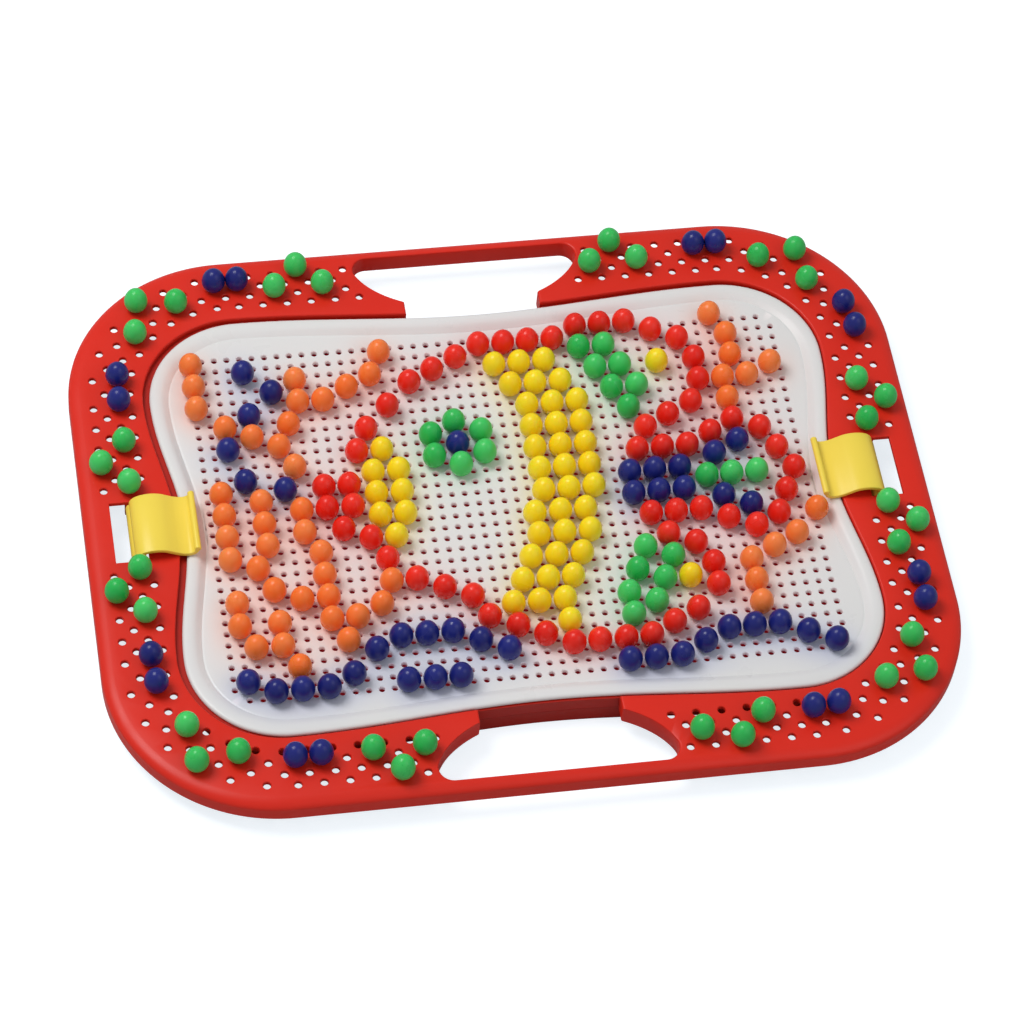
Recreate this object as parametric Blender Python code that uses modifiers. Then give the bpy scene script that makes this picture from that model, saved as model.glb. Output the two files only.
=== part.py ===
"""Portable peg mosaic case: a perforated red frame with two handles, a storage basin under it,
a white peg board that drops into the frame, two yellow clips that hold the board down, and the
round-headed pegs that decorate the frame's border.

Origin at the middle of the footprint, on the surface the basin stands on. +X runs along the
length, +Z up. Lengths below are in millimetres and turned into metres by MM.
"""

import math

import bmesh
import bpy

MM = 0.001
OVERSHOOT = 5.0  # how far cutters run past the faces they cut

# Frame
FRAME_HALF_LENGTH = 172.0
FRAME_HALF_WIDTH = 135.0
CORNER_CENTRE = (104.0, 67.0)  # corner arcs of the frame's edge and of the hole rows
FRAME_BOTTOM = 8.5
FRAME_TOP = 17.5
FRAME_WALL = 2.0
SKIRT_WALL = 2.4
PLATE_BOTTOM = 14.9  # underside of the frame's top plate
EDGE_BEVEL = ((14.3, 0.0), (16.2, 1.2), (17.2, 3.2), (FRAME_TOP, 5.0))  # (height, inset)

# Pinched outline shared by the pocket, the board and the basin
RIM_CENTRE = (101.5, 63.0)
RIM_RADIUS = 39.0
PINCH_LONG = 5.5  # how far the long sides draw in at their middle
PINCH_SHORT = 7.5
POCKET_OFFSET = 1.5  # clearance of the frame's pocket round the board's rim
LEDGE_TOP = 14.6
LEDGE_OUTER = 0.8
LEDGE_INNER = -3.5

# Handles
HANDLE_OUTER_Y = 130.0
HANDLE_HALF_LENGTH = 48.8
HANDLE_DEPTH = 30.6
HANDLE_GAP_HALF = 28.3
HANDLE_ROUNDING = 6.0
HANDLE_TIP_DEG = 16.0  # where the ellipse gives way to the rounded tip

# Clip slots and clips
SLOT_INNER_X = 147.6
SLOT_OUTER_X = 160.9
SLOT_HALF_WIDTH = 14.6
PIN_X = 151.4
PIN_Z = 14.2
PIN_RADIUS = 1.2
PIN_SINK = 1.0  # how far the bar runs into the posts that carry it
KNUCKLE_BORE = 1.6
KNUCKLE_RADIUS = 3.0
CLIP_HALF_WIDTH = 14.1
CLIP_THICKNESS = 1.8
# centre line of the strip: distance inboard of the knuckle's outer face, height
CLIP_PROFILE = (
    (2.4, 16.1), (2.4, 18.6), (4.2, 20.7), (7.2, 21.8), (10.5, 22.0), (13.5, 21.4),
    (16.2, 20.1), (18.8, 18.8), (21.2, 18.1), (23.6, 18.1), (25.4, 19.2), (26.2, 21.2),
)
LIP_RADIUS = 1.35
BORE_STRETCH = 1.2  # the bore's cutter is this much wider than the clip

# Board
BOARD_SHIFT = 1.2  # the board sits against the right side of its pocket
BOARD_BOTTOM = 12.0
BOARD_EDGE = -5.1  # the plate's edge, which drops inside the frame's ledge
RIM_BOTTOM = 14.9
RIM_SECTION = ((0.0, 15.9), (-2.6, 16.8), (-4.6, 16.8), (-7.6, 15.2), (-10.0, 14.2))  # (offset, height)
LOCATING_LIP_BOTTOM = 8.0
LOCATING_LIP_OFFSET = -6.0
LOCATING_LIP_WALL = 1.6

# Basin
BASIN_TOP = 8.2
BASIN_OFFSET = 0.6
BASIN_WALL = 2.0
BASIN_FLOOR = 1.6
BASIN_CORNER_INSET = 0.5

# Pegs
PEG_RADIUS = 4.8
HEAD_HEIGHT = 11.6
HEAD_MIDDLE = 0.44  # height of the widest ring, as a share of the head's height
HEAD_FOOT = 0.55  # radius of the head's base, as a share of its widest radius
STEM_RADIUS = 1.3
STEM_LENGTH = 8.2
SEAT_GAP = 0.3
HOLE_RADIUS = 1.7
HOLE_DEPTH = 12.0
PEG_SIDES = 8

# Border holes: rows run beside the board's pocket and are numbered outwards, steps run from the
# handle round the corner to the clip, and a hole exists where row + step is even
ROW_SPACING = 5.1
FIRST_ROW_RADIUS = 43.0
LONG_START = 46.6
LONG_STEP = 5.05
LONG_STEPS = 12
CORNER_START_DEG = 87.0
CORNER_STEP_DEG = 7.0
CORNER_STEPS = 13
SHORT_START = 62.7
SHORT_STEP = 5.2

# Border pegs of each quarter as (row, step): green threes and blue pairs
SIDE_GREENS = ((1, 29), (3, 31), (1, 33))
CORNER_GREENS = ((1, 15), (3, 17), (1, 19))
PEGS = {
    (-1, 1): {
        "green": ((1, 3), (3, 5), (1, 7)) + CORNER_GREENS + SIDE_GREENS,
        "blue": ((2, 10), (2, 12), (1, 23), (1, 25)),
    },
    (1, 1): {
        "green": ((1, 1), (3, 3), (1, 5)) + CORNER_GREENS + SIDE_GREENS,
        "blue": ((2, 10), (2, 12), (2, 22), (2, 24)),
    },
    (-1, -1): {
        "green": ((1, 1), (3, 3), (1, 5)) + CORNER_GREENS + SIDE_GREENS,
        "blue": ((1, 9), (1, 11), (1, 23), (1, 25)),
    },
    (1, -1): {
        "green": ((2, 2), (3, 5), (1, 7), (1, 17), (3, 19), (1, 21)) + SIDE_GREENS,
        "blue": ((1, 11), (1, 13), (2, 24), (2, 26)),
    },
}

# name: (colour, roughness, transmission)
FINISHES = {
    "red_plastic": ((0.62, 0.022, 0.016), 0.38, 0.0),
    "white_plastic": ((0.80, 0.80, 0.79), 0.35, 0.15),
    "yellow_plastic": ((0.86, 0.66, 0.05), 0.32, 0.0),
    "green_plastic": ((0.04, 0.47, 0.09), 0.22, 0.25),
    "blue_plastic": ((0.018, 0.025, 0.19), 0.18, 0.05),
}

CORNER_SEGMENTS = 8
LONG_SEGMENTS = 12
SHORT_SEGMENTS = 10
HANDLE_SEGMENTS = 7
TIP_SEGMENTS = 5
PIN_SIDES = 12
KNUCKLE_SIDES = 16


# ---------------------------------------------------------------- outlines (millimetres)


def arc(centre, radius, start_deg, end_deg, segments):
    """Points along an arc, both ends included."""
    points = []
    for i in range(segments + 1):
        angle = math.radians(start_deg + (end_deg - start_deg) * i / segments)
        points.append((centre[0] + radius * math.cos(angle), centre[1] + radius * math.sin(angle)))
    return points


def circle(centre, radius, sides):
    return arc(centre, radius, 0.0, 360.0 * (sides - 1) / sides, sides - 1)


def frame_outline(inset=0.0):
    """The frame's outer edge: straight sides and corners struck from the corner centres."""
    cx, cy = CORNER_CENTRE
    radius = FRAME_HALF_LENGTH - cx - inset
    points = []
    for quarter, (sx, sy) in enumerate(((1, 1), (-1, 1), (-1, -1), (1, -1))):
        start = 90.0 * quarter
        points += arc((sx * cx, sy * cy), radius, start, start + 90.0, CORNER_SEGMENTS)
    return points


def pinched_outline(offset=0.0, shift=0.0):
    """The board's outline grown by offset: round corners, with sides drawn in at the middle."""
    cx, cy = RIM_CENTRE
    radius = RIM_RADIUS + offset

    def side(half, reach, pinch, segments):
        run = []
        for i in range(1, segments):
            along = half * (1.0 - 2.0 * i / segments)
            run.append((along, reach - pinch * 0.5 * (1.0 + math.cos(math.pi * along / half))))
        return run

    long_side = side(cx, cy + radius, PINCH_LONG, LONG_SEGMENTS)
    short_side = side(cy, cx + radius, PINCH_SHORT, SHORT_SEGMENTS)
    points = arc((cx, cy), radius, 0.0, 90.0, CORNER_SEGMENTS)
    points += long_side
    points += arc((-cx, cy), radius, 90.0, 180.0, CORNER_SEGMENTS)
    points += [(-reach, along) for along, reach in short_side]
    points += arc((-cx, -cy), radius, 180.0, 270.0, CORNER_SEGMENTS)
    points += [(-along, -reach) for along, reach in long_side]
    points += arc((cx, -cy), radius, 270.0, 360.0, CORNER_SEGMENTS)
    points += [(reach, -along) for along, reach in short_side]
    return [(x + shift, y) for x, y in points]


def handle_outline():
    """Half an ellipse with rounded tips, opened towards the board by a straight-sided gap."""
    tip = math.radians(HANDLE_TIP_DEG)
    gap_angle = math.acos(HANDLE_GAP_HALF / HANDLE_HALF_LENGTH)
    right = [(HANDLE_GAP_HALF, RIM_CENTRE[1])]
    for i in range(HANDLE_SEGMENTS + 1):
        angle = gap_angle + (tip - gap_angle) * i / HANDLE_SEGMENTS
        right.append((HANDLE_HALF_LENGTH * math.cos(angle), HANDLE_OUTER_Y - HANDLE_DEPTH * math.sin(angle)))
    run, rise = HANDLE_HALF_LENGTH * math.sin(tip), HANDLE_DEPTH * math.cos(tip)
    centre_x = right[-1][0] - HANDLE_ROUNDING * rise / math.hypot(run, rise)
    start = -math.degrees(math.atan2(run, rise))
    right += arc((centre_x, HANDLE_OUTER_Y - HANDLE_ROUNDING), HANDLE_ROUNDING, start, 90.0, TIP_SEGMENTS)[1:]
    return right + [(-x, y) for x, y in reversed(right)]


def border_hole(row, step):
    """Centre of a border hole in the +X +Y quarter."""
    cx, cy = CORNER_CENTRE
    radius = FIRST_ROW_RADIUS + ROW_SPACING * row
    if step < LONG_STEPS:
        return LONG_START + LONG_STEP * step, cy + radius
    step -= LONG_STEPS
    if step < CORNER_STEPS:
        angle = math.radians(CORNER_START_DEG - CORNER_STEP_DEG * step)
        return cx + radius * math.cos(angle), cy + radius * math.sin(angle)
    step -= CORNER_STEPS
    return cx + radius, SHORT_START - SHORT_STEP * step


# ---------------------------------------------------------------- Blender helpers


def clear_scene():
    for obj in list(bpy.data.objects):
        bpy.data.objects.remove(obj)


def new_collection(name):
    collection = bpy.data.collections.new(name)
    bpy.context.scene.collection.children.link(collection)
    return collection


def make_materials():
    materials = {}
    for name, (colour, roughness, transmission) in FINISHES.items():
        material = bpy.data.materials.new(name)
        material.use_nodes = True
        shader = material.node_tree.nodes["Principled BSDF"]
        shader.inputs["Base Color"].default_value = (*colour, 1.0)
        shader.inputs["Roughness"].default_value = roughness
        shader.inputs["Metallic"].default_value = 0.0
        shader.inputs["Transmission Weight"].default_value = transmission
        materials[name] = material
    return materials


def add_object(name, mesh, collection, material=None):
    obj = bpy.data.objects.new(name, mesh)
    collection.objects.link(obj)
    if material:
        mesh.materials.clear()
        mesh.materials.append(material)
    return obj


def smooth_by_angle(obj, degrees=35.0):
    obj.data.shade_smooth()
    obj.data.set_sharp_from_angle(angle=math.radians(degrees))


def loft(name, levels, collection, material=None):
    """A closed solid through stacked outlines: levels are (height, outline) from the bottom up."""
    bm = bmesh.new()
    rings = []
    for height, outline in levels:
        rings.append([bm.verts.new((x * MM, y * MM, height * MM)) for x, y in outline])
    for lower, upper in zip(rings, rings[1:]):
        count = len(lower)
        for i in range(count):
            j = (i + 1) % count
            bm.faces.new((lower[i], lower[j], upper[j], upper[i]))
    bm.faces.new(list(reversed(rings[0])))
    bm.faces.new(rings[-1])
    bmesh.ops.remove_doubles(bm, verts=bm.verts, dist=1e-6)
    bmesh.ops.recalc_face_normals(bm, faces=bm.faces)
    mesh = bpy.data.meshes.new(name)
    bm.to_mesh(mesh)
    bm.free()
    return add_object(name, mesh, collection, material)


def block(name, outline, bottom, top, collection):
    return loft(name, [(bottom, outline), (top, outline)], collection)


def box(name, low, high, collection):
    outline = [(low[0], low[1]), (high[0], low[1]), (high[0], high[1]), (low[0], high[1])]
    return block(name, outline, low[2], high[2], collection)


def cylinder_along_y(name, centre, radius, half_length, sides, collection):
    bm = bmesh.new()
    bmesh.ops.create_cone(bm, cap_ends=True, segments=sides, radius1=radius * MM,
                          radius2=radius * MM, depth=2.0 * half_length * MM)
    mesh = bpy.data.meshes.new(name)
    bm.to_mesh(mesh)
    bm.free()
    obj = add_object(name, mesh, collection)
    obj.rotation_euler = (math.pi / 2.0, 0.0, 0.0)
    obj.location = (centre[0] * MM, 0.0, centre[1] * MM)
    return obj


def helper(obj):
    obj.hide_render = True
    obj.display_type = "WIRE"
    return obj


def boolean(obj, operation, tool):
    modifier = obj.modifiers.new(tool.name, "BOOLEAN")
    modifier.operation = operation
    modifier.solver = "EXACT"
    if isinstance(tool, bpy.types.Collection):
        modifier.operand_type = "COLLECTION"
        modifier.collection = tool
    else:
        modifier.object = helper(tool)


# ---------------------------------------------------------------- parts


def handle_cutter(name, side, cutters):
    """A handle opening that stops at the wall which carries the board."""
    outline = [(x, side * y) for x, y in handle_outline()]
    bottom, top = FRAME_BOTTOM - OVERSHOOT, FRAME_TOP + OVERSHOOT
    cutter = block(name, outline, bottom, top, cutters)
    keep = block(name + "_wall", pinched_outline(LEDGE_OUTER), bottom - 1.0, top + 1.0, cutters)
    boolean(cutter, "DIFFERENCE", keep)
    return cutter


def underside_hollow(cutters):
    """The hollow under the frame's plate, round solid blocks for the pocket, handles and hinge posts."""
    low, high = FRAME_BOTTOM - 2.0 * OVERSHOOT, FRAME_TOP
    hollow = block("hollow", frame_outline(SKIRT_WALL), FRAME_BOTTOM - OVERSHOOT, PLATE_BOTTOM, cutters)
    keeps = [block("keep_pocket", pinched_outline(POCKET_OFFSET + FRAME_WALL), low, high, cutters)]
    handle_reach = HANDLE_HALF_LENGTH + FRAME_WALL
    post_reach = SLOT_HALF_WIDTH + FRAME_WALL
    for side, handle, slot in ((1, "far", "right"), (-1, "near", "left")):
        low_y, high_y = sorted((side * RIM_CENTRE[1], side * (FRAME_HALF_WIDTH + OVERSHOOT)))
        keeps.append(box(f"keep_handle_{handle}", (-handle_reach, low_y, low), (handle_reach, high_y, high),
                         cutters))
        low_x, high_x = side * PIN_X - KNUCKLE_RADIUS, side * PIN_X + KNUCKLE_RADIUS
        keeps.append(box(f"keep_posts_{slot}", (low_x, -post_reach, low), (high_x, post_reach, high), cutters))
    for keep in keeps:
        boolean(hollow, "DIFFERENCE", keep)
    return hollow


def make_frame(parts, cutters, holes, materials):
    """The one-piece frame: a skin with skirts, a stepped pocket for the board, and the handles."""
    levels = [(FRAME_BOTTOM, frame_outline(0.0))]
    levels += [(height, frame_outline(inset)) for height, inset in EDGE_BEVEL]
    frame = loft("frame", levels, parts, materials["red_plastic"])

    pocket = block("pocket", pinched_outline(POCKET_OFFSET), LEDGE_TOP, FRAME_TOP + OVERSHOOT, cutters)
    boolean(frame, "DIFFERENCE", pocket)
    through = block("through", pinched_outline(LEDGE_INNER), FRAME_BOTTOM - OVERSHOOT,
                    FRAME_TOP + OVERSHOOT, cutters)
    boolean(frame, "DIFFERENCE", through)
    for side, where in ((1, "far"), (-1, "near")):
        boolean(frame, "DIFFERENCE", handle_cutter(f"handle_{where}", side, cutters))

    boolean(frame, "DIFFERENCE", underside_hollow(cutters))
    for side, where in ((1, "right"), (-1, "left")):
        low_x, high_x = sorted((side * SLOT_INNER_X, side * SLOT_OUTER_X))
        slot = box(f"slot_{where}", (low_x, -SLOT_HALF_WIDTH, FRAME_BOTTOM - OVERSHOOT),
                   (high_x, SLOT_HALF_WIDTH, FRAME_TOP + OVERSHOOT), cutters)
        boolean(frame, "DIFFERENCE", slot)
        pin = cylinder_along_y(f"hinge_bar_{where}", (side * PIN_X, PIN_Z), PIN_RADIUS,
                               SLOT_HALF_WIDTH + PIN_SINK, PIN_SIDES, cutters)
        boolean(frame, "UNION", pin)
    boolean(frame, "DIFFERENCE", holes)
    smooth_by_angle(frame)


def make_basin(parts, cutters, materials):
    """The open tray under the board that stores the pegs and that the case stands on."""
    levels = [
        (0.0, pinched_outline(BASIN_OFFSET - BASIN_CORNER_INSET)),
        (BASIN_CORNER_INSET, pinched_outline(BASIN_OFFSET)),
        (BASIN_TOP, pinched_outline(BASIN_OFFSET)),
    ]
    basin = loft("storage_basin", levels, parts, materials["red_plastic"])
    inside = block("basin_inside", pinched_outline(BASIN_OFFSET - BASIN_WALL), BASIN_FLOOR,
                   BASIN_TOP + OVERSHOOT, cutters)
    boolean(basin, "DIFFERENCE", inside)
    smooth_by_angle(basin)


def make_board(parts, cutters, materials):
    """The peg board: a plate with a raised round rim and a lip that locates it in the frame."""
    def outline(offset):
        return pinched_outline(offset, BOARD_SHIFT)

    levels = [(BOARD_BOTTOM, outline(BOARD_EDGE)), (RIM_BOTTOM, outline(BOARD_EDGE))]
    levels.append((RIM_BOTTOM, outline(0.0)))
    levels += [(height, outline(offset)) for offset, height in RIM_SECTION]
    board = loft("peg_board", levels, parts, materials["white_plastic"])
    lip = block("locating_lip", outline(LOCATING_LIP_OFFSET), LOCATING_LIP_BOTTOM, BOARD_BOTTOM + 1.0, cutters)
    bore = block("locating_lip_bore", outline(LOCATING_LIP_OFFSET - LOCATING_LIP_WALL),
                 LOCATING_LIP_BOTTOM - OVERSHOOT, BOARD_BOTTOM + OVERSHOOT, cutters)
    boolean(lip, "DIFFERENCE", bore)
    boolean(board, "UNION", lip)
    smooth_by_angle(board)


def strip_outline(centre_line, thickness):
    """Both sides of a strip that follows a centre line of (x, z) points."""
    upper, lower = [], []
    last = len(centre_line) - 1
    for i, (x, z) in enumerate(centre_line):
        before = centre_line[max(i - 1, 0)]
        after = centre_line[min(i + 1, last)]
        dx, dz = after[0] - before[0], after[1] - before[1]
        length = math.hypot(dx, dz)
        nx, nz = -dz / length * thickness / 2.0, dx / length * thickness / 2.0
        upper.append((x + nx, z + nz))
        lower.append((x - nx, z - nz))
    return lower + list(reversed(upper))


def make_clip(name, side, parts, cutters, materials):
    """An S-shaped strip: knuckle round the hinge bar, hump, valley over the rim, finger lip."""
    def solid(suffix, outline):
        """Extrude an (x, z) outline over the clip's width, in the clip's own frame."""
        piece = block(name + suffix, outline, -CLIP_HALF_WIDTH, CLIP_HALF_WIDTH, cutters)
        for vertex in piece.data.vertices:
            x, z, y = vertex.co
            vertex.co = (x, -y, z)
        return piece

    line = [(u - KNUCKLE_RADIUS, z - PIN_Z) for u, z in CLIP_PROFILE]
    strip = solid("_strip", strip_outline(line, CLIP_THICKNESS))
    knuckle = solid("_knuckle", circle((0.0, 0.0), KNUCKLE_RADIUS, KNUCKLE_SIDES))
    bore = solid("_bore", circle((0.0, 0.0), KNUCKLE_BORE, PIN_SIDES))
    lip = solid("_lip", circle(line[-1], LIP_RADIUS, PIN_SIDES))
    for vertex in bore.data.vertices:
        vertex.co.y *= BORE_STRETCH

    clip = add_object(name, strip.data.copy(), parts, materials["yellow_plastic"])
    helper(strip)
    boolean(clip, "UNION", knuckle)
    boolean(clip, "UNION", lip)
    boolean(clip, "DIFFERENCE", bore)
    for obj in (clip, knuckle, bore, lip):
        obj.location = (side * PIN_X * MM, 0.0, PIN_Z * MM)
        obj.rotation_euler = (0.0, 0.0, 0.0 if side < 0 else math.pi)
    smooth_by_angle(clip)


def peg_profile():
    """Half section of a peg from the top of its head to the stem's tip, as (radius, height)."""
    middle = SEAT_GAP + HEAD_MIDDLE * HEAD_HEIGHT
    top = SEAT_GAP + HEAD_HEIGHT
    profile = [(0.0, top)]
    for angle in (60.0, 30.0, 0.0):
        turn = math.radians(angle)
        profile.append((PEG_RADIUS * math.cos(turn), middle + (top - middle) * math.sin(turn)))
    profile.append((PEG_RADIUS * HEAD_FOOT, SEAT_GAP))
    profile.append((STEM_RADIUS, SEAT_GAP))
    profile.append((STEM_RADIUS, -STEM_LENGTH))
    profile.append((0.0, -STEM_LENGTH))
    return profile


def peg_mesh(name, collection, material):
    """The peg's mesh: its profile turned about the stem's axis by a Screw modifier."""
    bm = bmesh.new()
    verts = [bm.verts.new((radius * MM, 0.0, height * MM)) for radius, height in peg_profile()]
    for first, second in zip(verts, verts[1:]):
        bm.edges.new((first, second))
    mesh = bpy.data.meshes.new(name)
    bm.to_mesh(mesh)
    bm.free()
    turned = add_object(name + "_profile", mesh, collection)
    screw = turned.modifiers.new("turn", "SCREW")
    screw.steps = PEG_SIDES
    screw.render_steps = PEG_SIDES
    screw.use_merge_vertices = True
    screw.merge_threshold = 0.00001
    graph = bpy.context.evaluated_depsgraph_get()
    result = bpy.data.meshes.new_from_object(turned.evaluated_get(graph))
    bpy.data.objects.remove(turned)
    result.name = name
    result.materials.clear()
    result.materials.append(material)
    result.shade_smooth()
    return result


def make_border_pegs(parts, holes, materials):
    """Pegs in the frame's border, and the cutters for the holes that they stand in."""
    meshes = {colour: peg_mesh(f"{colour}_peg", parts, materials[f"{colour}_plastic"])
              for colour in ("green", "blue")}
    bm = bmesh.new()
    bmesh.ops.create_cone(bm, cap_ends=True, segments=PEG_SIDES, radius1=HOLE_RADIUS * MM,
                          radius2=HOLE_RADIUS * MM, depth=2.0 * HOLE_DEPTH * MM)
    hole_mesh = bpy.data.meshes.new("peg_hole")
    bm.to_mesh(hole_mesh)
    bm.free()
    counts = {"green": 0, "blue": 0}
    for (sx, sy), colours in PEGS.items():
        for colour, addresses in colours.items():
            for row, step in addresses:
                counts[colour] += 1
                x, y = border_hole(row, step)
                name = f"border_peg_{colour}_{counts[colour]:02d}"
                peg = bpy.data.objects.new(name, meshes[colour])
                parts.objects.link(peg)
                peg.location = (sx * x * MM, sy * y * MM, FRAME_TOP * MM)
                cutter = bpy.data.objects.new("hole_" + name, hole_mesh)
                holes.objects.link(cutter)
                cutter.location = peg.location
                helper(cutter)


def build():
    clear_scene()
    parts = new_collection("peg_mosaic_case")
    cutters = new_collection("cutters")
    holes = new_collection("peg_holes")
    materials = make_materials()
    make_border_pegs(parts, holes, materials)
    make_frame(parts, cutters, holes, materials)
    make_basin(parts, cutters, materials)
    make_board(parts, cutters, materials)
    make_clip("clip_left", -1, parts, cutters, materials)
    make_clip("clip_right", 1, parts, cutters, materials)
    for obj in cutters.objects:
        helper(obj)


build()
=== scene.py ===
"""Looks of the portable peg mosaic case: a fine mesh and a moulded plastic material for every piece.

Everything is in the part's frame: origin under the middle of the case, +X along its length, +Z up.
Lengths are in millimetres and turned into metres by MM.
"""

import math
import random

import bmesh
import bpy
import numpy as np
from mathutils import Matrix, Vector


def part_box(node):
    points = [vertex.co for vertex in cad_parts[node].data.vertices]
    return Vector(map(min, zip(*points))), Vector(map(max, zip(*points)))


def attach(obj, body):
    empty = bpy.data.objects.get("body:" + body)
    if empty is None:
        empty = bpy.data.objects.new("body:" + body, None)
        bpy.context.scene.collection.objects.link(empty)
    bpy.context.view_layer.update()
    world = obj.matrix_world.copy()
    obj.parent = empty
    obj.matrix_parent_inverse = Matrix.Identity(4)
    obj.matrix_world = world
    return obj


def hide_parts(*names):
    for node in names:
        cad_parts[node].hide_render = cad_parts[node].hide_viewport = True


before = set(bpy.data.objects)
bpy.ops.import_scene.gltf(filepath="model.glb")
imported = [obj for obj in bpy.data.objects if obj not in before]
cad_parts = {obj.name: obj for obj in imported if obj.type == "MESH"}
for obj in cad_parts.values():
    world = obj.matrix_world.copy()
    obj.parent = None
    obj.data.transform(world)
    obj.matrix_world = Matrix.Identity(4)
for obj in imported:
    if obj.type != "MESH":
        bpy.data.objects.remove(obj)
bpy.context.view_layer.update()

MM = 0.001

# ---------------------------------------------------------------- dimensions (mm)
# The part's own sizes, except that the frame's plate is a little thinner here and the pegs rounder.

OVERSHOOT = 5.0  # how far a cutter passes the wall that it cuts

# Frame
FRAME_HALF_LENGTH = 172.0
FRAME_HALF_WIDTH = 135.0
CORNER_CENTRE = (104.0, 67.0)
FRAME_BOTTOM = 8.5
FRAME_TOP = 17.5
FRAME_WALL = 2.0
PLATE_BOTTOM = 15.6
EDGE_START = 14.3  # height at which the outer edge begins to round over
EDGE_INSET = 5.0
EDGE_TURN_DEG = 72.0  # under 90, so that a soft crease is left where the flat top begins
EDGE_STEPS = 9
FOOT_ROUNDING = 0.4  # along every lower edge of the frame
HANDLE_FLARE = 0.8  # how much a cutout's mouth widens at the frame's top
POCKET_FLARE = 0.7
SLOT_FLARE = 0.3
FLARE_TURNS_DEG = (0.0, 30.0, 60.0, 90.0)

# Pinched outline shared by the pocket, the board and the basin
RIM_CENTRE = (101.5, 63.0)
RIM_RADIUS = 39.0
PINCH_LONG = 5.5
PINCH_SHORT = 7.5
POCKET_OFFSET = 1.5
LEDGE_TOP = 14.6
LEDGE_OUTER = 0.8
LEDGE_INNER = -3.5

# Handles
HANDLE_OUTER_Y = 130.0
HANDLE_HALF_LENGTH = 48.8
HANDLE_DEPTH = 30.6
HANDLE_GAP_HALF = 28.3
HANDLE_ROUNDING = 6.0
HANDLE_TIP_DEG = 16.0  # where the ellipse gives way to the rounded tip
HANDLE_SEGMENTS = 26
TIP_SEGMENTS = 16

# Clip slots and clips
SLOT_INNER_X = 147.6
SLOT_OUTER_X = 160.9
SLOT_HALF_WIDTH = 14.6
PIN_X = 151.4
PIN_Z = 14.2
PIN_RADIUS = 1.2
KNUCKLE_BORE = 1.6
KNUCKLE_RADIUS = 3.0
PIN_SIDES = 24
KNUCKLE_SIDES = 48
CLIP_HALF_WIDTH = 14.1
CLIP_THICKNESS = 1.8
CLIP_PROFILE = (  # the strip's middle line, as (distance from the knuckle's outer side, height)
    (2.4, 16.1), (2.4, 18.6), (4.2, 20.7), (7.2, 21.8), (10.5, 22.0), (13.5, 21.4),
    (16.2, 20.1), (18.8, 18.8), (21.2, 18.1), (23.6, 18.1), (25.4, 19.2), (26.2, 21.2),
)
LIP_RADIUS = 1.35
CLIP_EDGE_ROUNDING = 0.45
CLIP_STEPS = 6  # between two points of the profile

# Board: a grid of holes on a slightly dished plate
BOARD_SHIFT = 1.2
COLUMNS = 48
ROWS = 32
PITCH_X = 5.2
PITCH_Y = 5.408
DISH_LOW = 12.5
DISH_X = (1.09, 120.0)  # (rise, at this distance from the middle)
DISH_Y = (1.86, 83.2)
PLATE = 2.0
BOARD_HOLE_RADIUS = 1.3
HOLE_CHAMFER = 0.25
RIM_CROWN = 16.8
RIM_BOTTOM = 14.9
LIP_BOTTOM = 8.0

# Basin
BASIN_TOP = 8.2
BASIN_OFFSET = 0.6
BASIN_WALL = 2.0
BASIN_FLOOR = 1.6

# Pegs
PEG_RADIUS = 4.87
HEAD_HEIGHT = 11.3
HEAD_MIDDLE = 0.44  # height of the widest ring, as a share of the head's height
STEM_RADIUS = 1.2
STEM_LENGTH = 8.2
SEAT_GAP = 0.1
PEG_SIDES = 28
PEG_LEAN_DEG = 1.3
BORDER_PEG_LEAN_DEG = 0.5

# Border holes
BORDER_HOLE_RADIUS = 1.6
BORDER_HOLE_FLARE = 0.3
BORDER_HOLE_SIDES = 16
ROW_SPACING = 5.1
FIRST_ROW_RADIUS = 43.0
LONG_START = 46.6
LONG_STEP = 5.05
LONG_STEPS = 12
CORNER_START_DEG = 87.0
CORNER_STEP_DEG = 7.0
CORNER_STEPS = 13
SHORT_START = 62.7
SHORT_STEP = 5.2
BORDER_ROWS = 4
BORDER_STEPS = 34
HANDLE_TIP_HOLE = (2, 0)  # the one place in the pattern that a handle's tip takes up

# The mosaic on the board's holes, seen from above with the far row first:
# O orange, B blue, R red, Y yellow, G green
MOSAIC = (
    "...............................R.R.R......O.....",
    "O..............O.......R.R.R.R.......R..........",
    "....B................R.........G.G.....R...O....",
    "O.......O.....O....R....Y.Y.Y...................",
    "......B.....O....R..............G.G..Y..R..O....",
    "O.......O.O..............Y.Y.Y................O.",
    "....B..........R.................G.G....R.O.O...",
    "..O....O..................Y.Y.Y.................",
    "....O........R......G.............G....R..O.....",
    "..B...O...........G...G...Y.Y.Y......R..........",
    "............R.Y.....B..............R......R.....",
    ".......O..........G...G...Y.Y.Y.........R...R...",
    "...B.........Y.Y....G.............R.R.R...B.....",
    ".O....B..R.R..............Y.Y.Y.........B....R..",
    "....O........Y.Y.................B.B.B..........",
    ".O.....O.R.R..............Y.Y.Y........G.G.G..R.",
    "....O........Y.Y.................B.B.B..........",
    ".O.....O..R..............Y.Y.Y..........B....R..",
    "....O.......R.Y...................R.R.R...B.....",
    ".O......O................Y.Y.Y..........R...R..O",
    "...O.........R.....................R......R.....",
    "........O...............Y.Y.Y....G...R.......O..",
    "....O........O.R...................G.......O....",
    ".O....O.O........R.....Y.Y.Y....G.....R..O......",
    "............O......R..............G.Y...........",
    ".O..O...O.O...........Y.Y.Y....G......R..O......",
    "....................R............G..............",
    "..O.O....O...B.B.B....R...Y....G....R....O......",
    "...........B.......B....R.........R.............",
    ".....O...............B....R.R.R.R.....B.B.B.....",
    ".B.......B..........................B.......B...",
    "...B.B.B.....B.B.B............B.B.B...........B.",
)
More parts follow.
